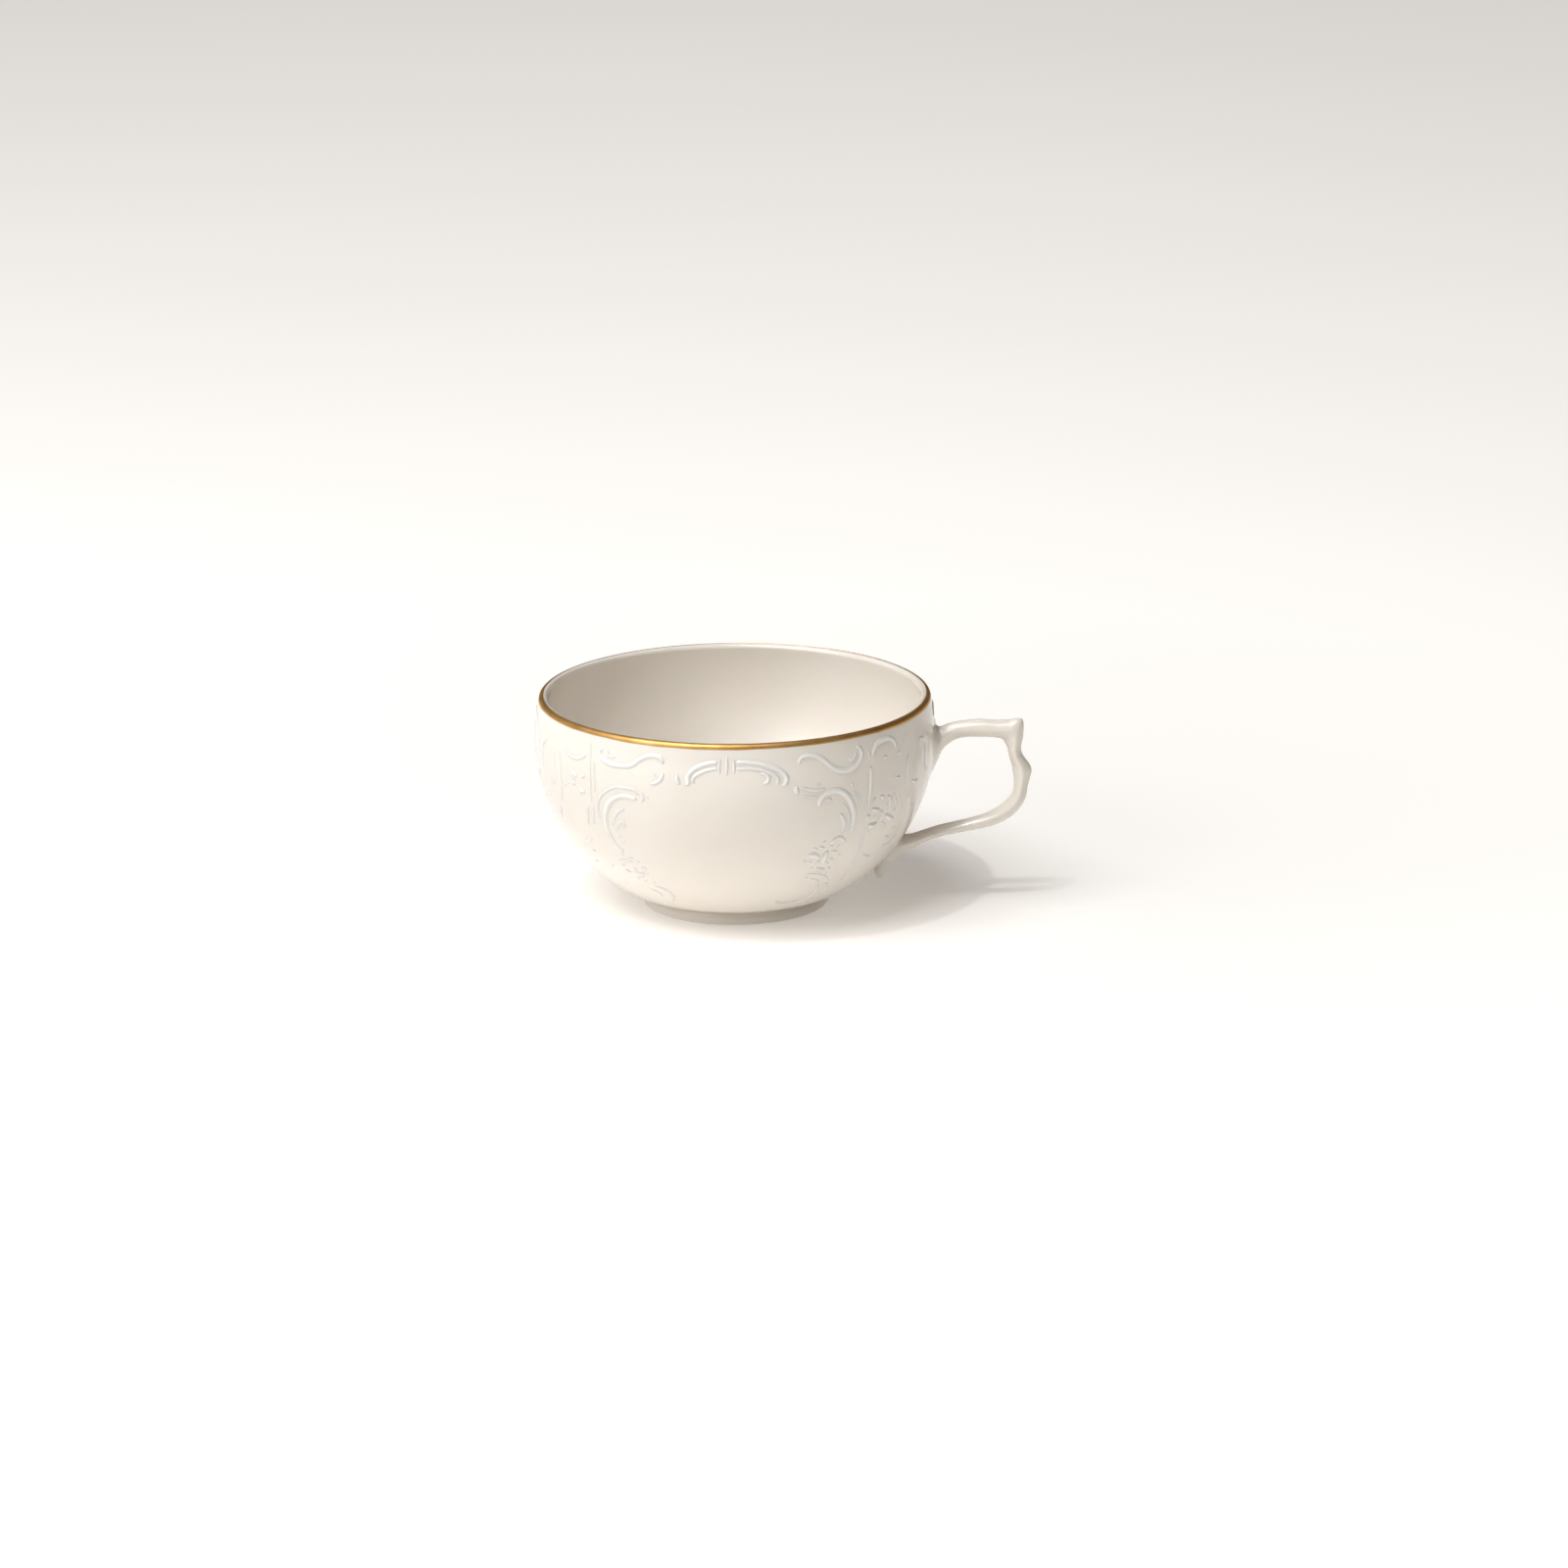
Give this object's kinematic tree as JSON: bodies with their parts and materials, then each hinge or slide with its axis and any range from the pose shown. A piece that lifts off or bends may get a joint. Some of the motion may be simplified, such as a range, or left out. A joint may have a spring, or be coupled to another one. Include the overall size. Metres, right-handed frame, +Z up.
{
  "type": "teacup",
  "caption": "Low round porcelain teacup with a foot ring, a scroll handle with a spur, moulded ornament and a gold-lined rim.",
  "frame": {"origin": "centre of the foot ring's resting plane, on the bowl's axis", "axes": "+Z up along the bowl's axis, +X towards the handle, -Y towards the side with the cartouche"},
  "size_m": [0.1296, 0.1044, 0.0562],
  "materials": {
    "glazed_porcelain": "gloss ivory glaze",
    "slip": "fired slip under the glaze",
    "gold": "bright fired gold"
  },
  "bodies": {
    "root": {"bowl": "glazed_porcelain", "foot_ring": "glazed_porcelain", "handle": "glazed_porcelain", "upper_slip_joint": "slip", "lower_slip_joint": "slip", "rim_gilding": "gold"}
  },
  "joints": []
}
